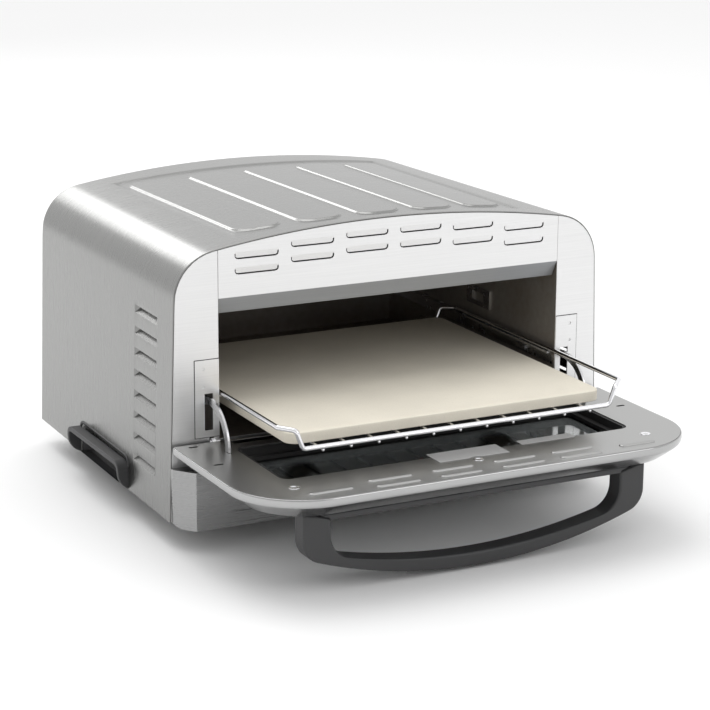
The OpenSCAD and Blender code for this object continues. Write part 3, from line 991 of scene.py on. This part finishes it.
    def vent_spots(self) -> list[tuple[float, float]]:
        """Middle and upper edge of each front vent.

        Returns:
            The x and z of each vent.
        """
        cell = (2 * self.mouth_x - 22) / 6
        spots = []
        for i in range(6):
            x = (i - 2.5) * cell
            top = self.crown - x * x / (2 * self.dome_r) - 11
            spots.extend([(x, top), (x, top - 15)])
        return spots

    def vent_tab(self, x0: float, top: float) -> tuple[Points, Faces]:
        """A tab hinged at its top and pressed in towards its rounded lower edge.

        The depth grows in step with the distance below the hinge; a slit of even width follows the
        tab's outline, and the sheet is also cut wherever the depth jumps.

        Args:
            x0: the tab's middle.
            top: height of its hinge line.

        Returns:
            Points and faces.
        """
        half, tall, deep, corner, slit = 23.0, 6.6, 1.2, 3.2, 0.9
        x = np.arange(-half - 1.4, half + 1.41, 0.4)
        z = np.arange(-tall - 1.2, 1.01, 0.4)
        gx, gz = np.meshgrid(x, z)
        qx = np.abs(gx) - (half - corner)
        qz = -gz - (tall - corner)
        out = np.hypot(np.maximum(qx, 0), np.maximum(qz, 0)) + np.minimum(np.maximum(qx, qz), 0) - corner
        inside = (out < 0) & (gz <= 0)
        fall = np.where(inside, deep * -gz / tall, 0)
        points = np.stack([x0 + gx, fall, top + gz], -1).reshape(-1, 3)
        faces = quads(*gx.shape)
        level = fall.reshape(-1)[faces]
        edge = out.reshape(-1)[faces].mean(1)
        below = gz.reshape(-1)[faces].mean(1) < -1.6
        cut = (np.ptp(level, axis=1) > 0.3) | ((edge < 0.1) & (edge > -slit) & below)
        return points, faces[~cut][:, ::-1]

    def vent_panel(self) -> None:
        """Front panel over the mouth, with two rows of pressed vents under the dome's curve."""
        parts = []
        cell = (2 * self.mouth_x - 22) / 6
        half, above, below = 24.4, 1.0, 7.8
        spots = self.vent_spots()
        edges = [-self.mouth_x + 0.3, *[(i - 2) * cell for i in range(5)], self.mouth_x - 0.3]
        for i in range(6):
            x, top = spots[2 * i]
            left, right = edges[i], edges[i + 1]
            x0, x1 = x - half, x + half
            bands = [self.mouth_z, top - 15 - below, top - 15 + above, top - below, top + above]
            for k, (z0, z1) in enumerate(zip(bands[:-1], bands[1:])):
                spans = [(left, x0), (x1, right)] if k % 2 else [(left, right)]
                parts.extend([self.flat_patch(a, b, z0, z1) for a, b in spans])
            parts.append(self.crown_patch(left, right, top + above))
        parts.extend(self.vent_tab(x, top) for x, top in spots)
        self.shop.piece(
            "vent_panel_pressed", join(parts), FRONT_STEEL, "body", ["vent_panel"], wall=0.9, flat=True
        )

    def flat_patch(self, x0: float, x1: float, z0: float, z1: float) -> tuple[Points, Faces]:
        """A flat rectangle of the front panel."""
        return np.array([[x0, 0, z0], [x1, 0, z0], [x1, 0, z1], [x0, 0, z1]]), [(0, 1, 2, 3)]

    def crown_patch(self, x0: float, x1: float, z0: float) -> tuple[Points, Faces]:
        """The part of the panel between a level line and the dome.

        Args:
            x0, x1: its left and right sides.
            z0: height of its lower edge.

        Returns:
            Points and faces.
        """
        x = np.linspace(x0, x1, 12)
        top = self.crown - x**2 / (2 * self.dome_r) - self.sheet - 0.3
        low = np.full_like(x, z0)
        rows = np.stack([np.stack([x, x * 0, low], -1), np.stack([x, x * 0, top], -1)])
        points, faces = grid(rows)
        return points, [f[::-1] for f in faces]

    def grip(self, side: int, name: str) -> None:
        """Carry grip: a strap bent down at both ends, in front of a moulded pocket.

        Args:
            side: -1 for the left and 1 for the right.
            name: the CAD node that it stands for.
        """
        y0, y1 = self.hold_y
        x_out = self.side_x(y0, self.hold_top) + self.hold_out
        xc, inner = x_out - 6.2, self.side_x(y1, self.hold_top) - 5
        top, low = self.hold_top - 2.6, self.low + 5
        front, back = y0 + 3, y1 - 3
        corners = [
            [side * inner, back, low], [side * xc, back, low], [side * xc, back, top],
            [side * xc, front, top], [side * xc, front, low], [side * inner, front, low],
        ]
        path = rounded_path(corners, [0, 13, 6, 9, 13, 0], closed=False)
        strap = soft_loop(-2.5, 2.5, -6.1, 6.1, [1.1] * 4, 3)
        strap_surface = swept(path, strap, (0, 0, 1))

        def ring(t: float, d: float) -> Points:
            """Pocket ring at inset t and depth d.

            Args:
                t: inset from the pocket's rim.
                d: depth behind the side.

            Returns:
                The ring's points.
            """
            loop = soft_loop(y0 + 2 + t, y1 - 2 - t, self.low + 0.4, self.hold_top + 5 - t, [2, 9, 9, 2], 6)
            surface_x = self.side_x(loop[:, 0], loop[:, 1])
            return np.column_stack([side * (surface_x - d), loop])

        profile = [(0, 0.2), (0, -0.9), (1.2, -1.2), (3.0, -0.4), (5.0, 8.2), (7.0, 9.4)]
        rings = [ring(inset, behind) for inset, behind in profile]
        pocket = grid(np.stack(rings), loop_cols=True)
        count = len(rings[0])
        pocket[1].append(tuple(range(len(rings) * count - 1, (len(rings) - 1) * count - 1, -1)))
        self.shop.piece(name + "_strap", strap_surface, BLACK, "body")
        self.shop.piece(name + "_pocket", pocket, BLACK, "body", [name])

    def feet(self, low_z: float) -> None:
        """Four rubber feet with a rounded tread.

        Args:
            low_z: height of the surface that they stand on.
        """
        box_lo, box_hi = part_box("feet")
        x = box_hi.x / MM - 14
        ys = [(box_lo.y - self.shop.front_y) / MM + 14, (box_hi.y - self.shop.front_y) / MM - 14]
        tall = self.low - low_z
        shape = [(0.1, 0), (9, 0), (10.2, 0.5), (10.8, 1.8)]
        shape += [(12, tall - 5), (13.9, tall - 4), (14, tall), (0.1, tall)]
        foot = turned(shape)
        parts = []
        for sx in (-x, x):
            for y in ys:
                parts.append(grid(foot + np.array([sx, y, low_z]), loop_cols=True, caps=True))
        self.shop.piece("rubber_feet", join(parts), FOOT, "body", ["feet"], bevel=0)

    def knob(self, x: float, z: float, name: str, body: str) -> None:
        """A fluted knob with a raised pointer.

        Args:
            x: its middle across the oven.
            z: its middle's height.
            name: the CAD node that it stands for.
            body: the body that it turns with.
        """
        lo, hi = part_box(name)
        back = (hi.y - self.shop.front_y) / MM
        tall = (hi.y - lo.y) / MM
        shape = [
            (3.2, 0.2), (16.2, 0.2), (16.9, 0.9), (16.9, 3.2), (15.9, 4.4), (15.2, 5.2),
            (14.4, tall - 2.6), (13.6, tall - 1.2), (11.6, tall - 0.5), (0.1, tall - 0.4),
        ]
        spin = turned(shape, 96, 24, 0.012)
        points = np.stack([x + spin[..., 0], back - spin[..., 2], z + spin[..., 1]], -1)
        pointer = block(x - 1.1, x + 1.1, back - tall, back - tall + 1.4, z + 2, z + 12.5, 0.4)
        self.shop.piece(name + "_moulded", grid(points, loop_cols=True, caps=True), BLACK, body, [name])
        self.shop.piece(name + "_pointer", pointer, FIXING, body)

    def cover_seal(self, cover: str) -> None:
        """Painted shadow gap: a thin dark strip round the outer edges of a hinge cover, standing in for the
        shade in the gap behind the cover.

        Args:
            cover: the cover's CAD node.
        """
        lo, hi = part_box(cover)
        side = 1 if hi.x > 0 else -1
        x0, x1 = sorted((abs(lo.x) / MM, abs(hi.x) / MM))
        z0, z1 = ((v.z - self.shop.sill_z) / MM for v in (lo, hi))
        edge = [(x0, x1 + 0.7, z1, z1 + 0.7), (x1, x1 + 0.7, z0, z1 + 0.7), (x0, x1 + 0.7, z0 - 0.7, z0)]
        parts = []
        for a, b, c, d in edge:
            a, b = sorted((side * a, side * b))
            parts.append(block(a, b, -0.25, 0, c, d, 0.1))
        # This strip's dark colour is painted shade for the gap round the cover, not a real part.
        self.shop.piece(cover + "_seal", join(parts), RUBBER_AND_GAP_SHADE, "body")

    def build(self) -> None:
        """Builds and dresses the whole body."""
        shop = self.shop
        self.wrapper()
        self.side_grooves()
        self.vent_panel()
        self.grip(-1, "side_handle_left")
        self.grip(1, "side_handle_right")
        self.feet(-self.shop.sill_z / MM)
        for name, body in (("temperature_knob", "temperature_control"), ("timer_knob", "timer_control")):
            lo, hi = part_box(name)
            z = ((lo.z + hi.z) / 2 - shop.sill_z) / MM
            self.knob((lo.x + hi.x) / 2 / MM, z, name, body)
        shop.soften("control_housing", HOUSE_STEEL, "body", 1.2)
        shop.soften("control_panel", HOUSE_STEEL, "body", 0.3)
        shop.soften("front_frame", FRONT_STEEL, "body", 0.25)
        for part in ("hinge_cover_left", "hinge_cover_right"):
            shop.soften(part, FRONT_STEEL, "body", 0.25)
            # A dark strip round each cover paints the shadow of its gap.
            self.cover_seal(part)
        for part in ("hinge_bracket_left", "hinge_bracket_right", "back_screws"):
            shop.soften(part, FIXING, "body", 0.4)
        shop.soften("cavity_lip", LIP_STEEL, "body", 0.2)
        shop.soften("cord_gland", BLACK, "body", 0.8)
        shop.dress(BODY_STEEL, "back_panel", "base_pan")
        shop.dress(CHAMBER, "cavity_liner", "cavity_back")
        shop.dress(ELEMENT, "upper_element", "lower_element", "thermostat_body", "timer_body")
        shop.dress(FIXING, "element_clips", "rack_guide_left", "rack_guide_right")
        shop.dress(FIXING, "temperature_shaft", "timer_shaft")
        shop.dress(LAMP, "indicator_lights")
        shop.dress(WOOL, "insulation_pad")


# ---------------------------------------------------------------- the door


@dataclass
class Door:
    """The drop-down door: pressed skin, inner panel, glass, vents and bow handle."""

    shop: Shop
    half: float
    back: float
    reach: float
    thick: float
    mouth_x: float
    round_r: float = 75.0
    rim: float = 8.2
    bevel: float = 19.0

    def outline(self, inset: float) -> Points:
        """Door outline at an inset, with big free corners and small hinge-side ones.

        Args:
            inset: distance inwards.

        Returns:
            2D points.
        """
        small = max(3.0 - inset, 0.4)
        big = self.round_r - inset
        return soft_loop(
            -self.half + inset, self.half - inset, self.reach + inset, self.back - inset,
            [big, small, small, big], 24,
        )

    def window(self, inset: float) -> Points:
        """Window outline, with as many points as the door's.

        Args:
            inset: distance inwards.

        Returns:
            2D points.
        """
        r = max(10 - inset, 1)
        x = self.mouth_x - inset
        return soft_loop(-x, x, self.reach + 66 + inset, -35 - inset, [r] * 4, 24)

    def skin(self) -> None:
        """Pressed outer skin: rolled rim, sloping flank and flat face round the window."""
        profile = [(2.2, -1.6), (1.3, -0.7), (0.75, -0.32), (0.35, -0.7), (0.1, -1.5), (0, -2.6), (0, -4.2)]
        profile += [(0.15, -5.8), (0.55, -7.2), (1.2, -8.4), (2.0, -9.2), (9.5, -15.1)]
        profile += [(18.0, -21.3), (19.2, -21.9), (20.6, -self.thick)]
        rings = [np.column_stack([self.outline(t), np.full(100, z)]) for t, z in profile]
        for t, z in ((4.2, -self.thick), (4.9, -self.thick + 0.3), (5.0, -self.thick + 2.0)):
            rings.append(np.column_stack([self.window(t), np.full(100, z)]))
        self.shop.piece(
            "door_skin_pressed",
            grid(np.stack(rings), loop_cols=True),
            RIM_STEEL,
            "door",
            ["door_outer_skin"],
            wall=0.8,
        )

    def pills(self) -> None:
        """Raised vent hoods on the inner panel."""
        y_mid = (self.reach + 28.5, self.reach + 11.5)
        mid = [(-121, -76), (-54, -11), (12, 57), (76, 121)]
        rows = [(a, b, y) for a, b in mid for y in y_mid]
        x = self.mouth_x
        rows += [(-x + 4, -x + 48, self.reach + 18.5), (x - 43, x - 4, self.reach + 18.5)]
        shape = [(-0.6, -0.6), (-0.6, 0.05), (-0.3, 0.6), (0.2, 1.0), (1.0, 1.22), (1.9, 1.29), (2.7, 1.3)]
        parts = []
        for x0, x1, y in rows:

            def oblong(t: float, x0: float = x0, x1: float = x1, y: float = y) -> Points:
                """A hood's outline at inset t."""
                return soft_loop(x0 + t, x1 - t, y - 3 + t, y + 3 - t, [3 - t] * 4, 6)

            parts.append(stacked(oblong, shape))
        self.shop.piece("door_vent_hoods", join(parts), PILL_STEEL, "door")

    def handle(self) -> None:
        """Bow handle: two posts run down into a shallow bow; an oblong section follows both edges.

        Each station joins a point of the outer edge to one of the inner edge. Both edges are made of
        a straight post, an arc round the corner and an arc of the bow, with equal point counts.
        """
        lo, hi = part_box("door_handle")
        y0, y1 = (lo.y - self.shop.front_y) / MM, (hi.y - self.shop.front_y) / MM
        out_x = hi.x / MM
        low = (lo.z - self.shop.sill_z) / MM
        outer = self.bow_edge(out_x, 22, 512, low, -self.thick)
        inner = self.bow_edge(out_x - 28.5, 25, 627, low + 14.5, -self.thick - 9)
        mid = (outer + inner) / 2
        half = (outer - inner) / 2
        ring = soft_loop(-1, 1, -1, 1, [1] * 4, 5)
        depth = (y1 - y0) / 2
        size = np.linalg.norm(half, axis=1)[:, None]
        unit = half / size
        r = 3.0
        quadrant = np.repeat([[1, -1], [1, 1], [-1, 1], [-1, -1]], 6, 0)
        across = quadrant[None, :, 0] * (size - r) + r * ring[None, :, 0]
        deep = quadrant[None, :, 1] * (depth - r) + r * ring[None, :, 1]
        points = np.stack(
            [
                mid[:, :1] + unit[:, :1] * across,
                (y0 + y1) / 2 + np.broadcast_to(deep, across.shape),
                mid[:, 1:] + unit[:, 1:] * across,
            ],
            -1,
        )
        bow = grid(points, loop_cols=True, caps=True)
        strip_top, strip_low = -self.thick - 5, -self.thick - 11
        parts = [block(-out_x + 20, out_x - 20, y0 + 0.6, y1 - 0.6, strip_low, strip_top, 1.2)]
        bosses = [(-96, -54), (-19, 22.6), (59, 94), (-out_x + 18, -139.6), (137.5, out_x - 18)]
        parts += [block(a, b, y0 + 1.2, y1 - 1.2, strip_low + 1, -self.thick, 0.8) for a, b in bosses]
        self.shop.piece("handle_bow", bow, BLACK, "door", ["door_handle"])
        self.shop.piece("handle_strip", join(parts), BLACK, "door")

    def bow_edge(self, x: float, r: float, big: float, low: float, top: float) -> Points:
        """One edge of the handle, from the left post down, along the bow and up the right post.

        Args:
            x: the post's distance from the middle.
            r: radius of the lower corner.
            big: the bow's radius.
            low: the bow's lowest height.
            top: height of the post's upper end.

        Returns:
            2D points.
        """
        cx = x - r
        cz = low + big - math.sqrt((big - r) ** 2 - cx**2)
        swing = math.degrees(math.atan2(cx, low + big - cz))
        post = np.column_stack([np.full(6, x), np.linspace(top, cz, 7)[:-1]])
        bend = arc(cx, cz, r, 0, -90 + swing, 14)
        bow = arc(0, low + big, big, -90 + swing, -90, 24)[1:]
        right = np.concatenate([post, bend, bow])
        left = right[-2::-1] * np.array([-1, 1])
        return np.concatenate([right, left])

    def screw_cups(self) -> None:
        """Bright dished washers round the inner panel's three screws."""
        lo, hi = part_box("door_screws")
        y = ((lo.y + hi.y) / 2 - self.shop.front_y) / MM
        reach = (hi.x - lo.x) / 2 / MM - 3.6
        middle = (hi.x + lo.x) / 2 / MM
        cup = turned([(4.9, -0.5), (4.9, 0.3), (4.4, 0.5), (2.6, -0.2), (0.1, -0.25)])
        places = (middle - reach, middle + 2.2, middle + reach)
        parts = [grid(cup + np.array([x, y, 0.1]), loop_cols=True, caps=True) for x in places]
        self.shop.piece("screw_cups", join(parts), CHROME, "door")

    def build(self) -> None:
        """Builds and dresses the door."""
        shop = self.shop
        self.skin()
        self.pills()
        self.handle()
        shop.dress(DOOR_STEEL, "door_inner_panel")
        shop.dress(GLASS, "door_glass_inner", "door_glass_outer")
        shop.dress(RUBBER_AND_GAP_SHADE, "glass_gasket")
        shop.soften("glass_retainer", PLATE_STEEL, "door", 0.2)
        shop.dress(FIXING, "door_screws", "handle_screws")
        self.screw_cups()
        for part in ("hinge_arm_left", "hinge_arm_right", "hinge_pin_left", "hinge_pin_right"):
            shop.soften(part, FIXING, "door", 0.35)


# ---------------------------------------------------------------- the rack and stone


@dataclass
class Rack:
    """The plated wire rack with the stone on it."""

    shop: Shop
    rod: float = 2.4
    wire: float = 1.5
    wires: int = 11

    def build(self) -> None:
        """Bends the frame from one rod, lays the wires under it and sets the stone on top."""
        lo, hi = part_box("wire_rack")
        front = (lo.y - self.shop.front_y) / MM + self.rod
        back = (hi.y - self.shop.front_y) / MM - self.rod
        rail_z = (hi.z - self.shop.sill_z) / MM - self.rod
        wire_z = (lo.z - self.shop.sill_z) / MM + self.wire
        bar_z = wire_z + self.rod + self.wire - 0.2
        x = hi.x / MM - self.rod
        right = [
            [x - 19.8, front, bar_z], [x - 12.8, front, rail_z - 1.1], [x, front + 13, rail_z],
            [x, back - 13, rail_z], [x - 12.8, back, rail_z - 1.1], [x - 19.8, back, bar_z],
        ]
        left = [[-p[0], p[1], p[2]] for p in right[::-1]]
        path = rounded_path(right + left, [5, 5, 6, 6, 5, 5] * 2, closed=True)
        parts = [swept(path, circle(self.rod, 16), (0.3, 0.2, 1), closed=True)]
        gap = (2 * x - 82) / (self.wires - 1)
        for i in range(self.wires):
            wx = (i - (self.wires - 1) / 2) * gap
            shape = [(0.1, 0), (self.wire * 0.8, 0.15), (self.wire, 0.6)]
            rings = turned(shape + [(r, back - front - h) for r, h in shape[::-1]], 12)
            tip = np.stack([wx + rings[..., 0], front + rings[..., 2], wire_z - rings[..., 1]], -1)
            parts.append(grid(tip, loop_cols=True, caps=True))
        self.shop.piece("rack_wires", join(parts), CHROME, "rack", ["wire_rack"])
        self.stone()

    def stone(self) -> None:
        """Baking stone with rounded corners and softened edges."""
        lo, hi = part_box("pizza_stone")
        x = hi.x / MM
        y0, y1 = (lo.y - self.shop.front_y) / MM, (hi.y - self.shop.front_y) / MM
        z0, z1 = (lo.z - self.shop.sill_z) / MM, (hi.z - self.shop.sill_z) / MM
        shape = [(1.4, z0), (0.5, z0 + 0.3), (0.0, z0 + 1.2)]
        shape += [(0, z1 - 1.5), (0.35, z1 - 0.6), (1.0, z1 - 0.12), (2.2, z1)]
        surface = stacked(lambda t: soft_loop(-x + t, x - t, y0 + t, y1 - t, [12 - t] * 4, 10), shape)
        self.shop.piece("stone_slab", surface, STONE, "stone", ["pizza_stone"])


# ---------------------------------------------------------------- light and camera


@dataclass
class Studio:
    """Camera, floor and soft lights."""

    eye: tuple[float, float, float] = (-1.04355, -2.04495, 0.76495)
    azimuth: float = -27.1207
    elevation: float = 15.1186
    roll: float = 0.344
    lens: float = 116.32
    sensor: float = 36.0

    def camera(self) -> None:
        """A long lens a little above the oven, to its left."""
        az, el, ro = (math.radians(v) for v in (self.azimuth, self.elevation, self.roll))
        back = Vector((math.sin(az) * math.cos(el), -math.cos(az) * math.cos(el), math.sin(el)))
        right = (-back).cross(Vector((0, 0, 1))).normalized()
        up = right.cross(-back).normalized()
        across = right * math.cos(ro) + up * math.sin(ro)
        upward = up * math.cos(ro) - right * math.sin(ro)
        data = bpy.data.cameras.new("camera")
        data.lens = self.lens
        data.sensor_width = self.sensor
        data.clip_end = 100
        made = bpy.data.objects.new("camera", data)
        bpy.context.scene.collection.objects.link(made)
        turn = Matrix((across, upward, back)).transposed().to_4x4()
        made.matrix_world = Matrix.Translation(self.eye) @ turn
        bpy.context.scene.camera = made

    def floor(self) -> None:
        """A wide pale floor."""
        wide = 30.0
        mesh = bpy.data.meshes.new("floor")
        outline = [(-wide, -wide, 0), (wide, -wide, 0), (wide, wide, 0), (-wide, wide, 0)]
        mesh.from_pydata(outline, [], [(0, 1, 2, 3)])
        paint = Paint("floor_paper")
        cloud = paint.noise((1, 1, 1), 0.8, 2.0)
        tone = paint.blend(cloud, (0.91, 0.91, 0.91), (0.93, 0.93, 0.93))
        mesh.materials.append(paint.shade(Base_Color=tone, Roughness=0.9))
        made = bpy.data.objects.new("floor", mesh)
        bpy.context.scene.collection.objects.link(made)

    def lamp(self, name: str, at: Sequence[float], aim: Sequence[float], size: float, watts: float) -> None:
        """A square soft box at a place, facing a point.

        Args:
            name: the lamp's name.
            at: where it stands.
            aim: what it faces.
            size: its side in metres.
            watts: its power.
        """
        data = bpy.data.lights.new(name, "AREA")
        data.size = size
        data.energy = watts
        made = bpy.data.objects.new(name, data)
        made.location = at
        made.rotation_mode = "QUATERNION"
        made.rotation_quaternion = (Vector(aim) - Vector(at)).to_track_quat("-Z", "Y")
        bpy.context.scene.collection.objects.link(made)

    def build(self) -> None:
        """Sets up everything around the oven."""
        self.camera()
        self.floor()
        paint = Paint("studio", bpy.data.worlds)
        where = paint.node("ShaderNodeTexCoord", {}, {})
        axes = paint.node("ShaderNodeSeparateXYZ", {}, {0: Num(paint, where.outputs["Generated"])})
        x, y, z = (Num(paint, axes.outputs[k]) for k in range(3))
        strength = z * 0.25 + y * 0.15 + x * 0.12 + 0.82
        light = paint.node("ShaderNodeBackground", {}, {"Color": (1, 1, 1, 1), "Strength": strength})
        out = paint.node("ShaderNodeOutputWorld", {}, {})
        paint.tree.links.new(light.outputs[0], out.inputs[0])
        bpy.context.scene.world = paint.block
        middle = (0, 0, 0.15)
        self.lamp("overhead_box", (-0.4, 0.5, 2.4), middle, 1.8, 16)
        self.lamp("front_box", (1.3, -2.3, 1.3), middle, 1.4, 8)
        self.lamp("back_strip", (-0.25, 2.6, 1.75), (0, 0, 0.25), 1.2, 15)
        view = bpy.context.scene.view_settings
        view.view_transform = "Standard"
        view.exposure = 0.0


def corners(box: tuple[Vector, Vector]) -> list[list[float]]:
    """A box as two plain lists of numbers."""
    return [[float(v) for v in corner] for corner in box]


def main() -> None:
    """Builds the oven piece by piece."""
    logging.basicConfig(level=logging.INFO, format="%(name)s: %(message)s")
    Studio().build()
    hinge = next(j for j in frame["joints"] if j["name"] == "door_hinge")
    shell_lo, shell_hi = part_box("outer_shell")
    shop = Shop(front_y=shell_lo.y, sill_z=hinge["pos_m"][2] + 1.5 * MM)
    drop = (shop.sill_z - shell_lo.z) / MM
    lean = 0.0335
    body = Body(
        shop,
        half_w=shell_hi.x / MM - lean * drop,
        depth=(shell_hi.y - shell_lo.y) / MM,
        crown=(shell_hi.z - shop.sill_z) / MM,
        low=-drop,
        lean=lean,
    )
    body.build()
    skin_lo, skin_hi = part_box("door_outer_skin")
    Door(
        shop,
        half=skin_hi.x / MM,
        back=(skin_hi.y - shop.front_y) / MM,
        reach=(skin_lo.y - shop.front_y) / MM,
        thick=(shop.sill_z - skin_lo.z) / MM,
        mouth_x=body.mouth_x,
    ).build()
    Rack(shop).build()


if __name__ == "__main__":
    main()
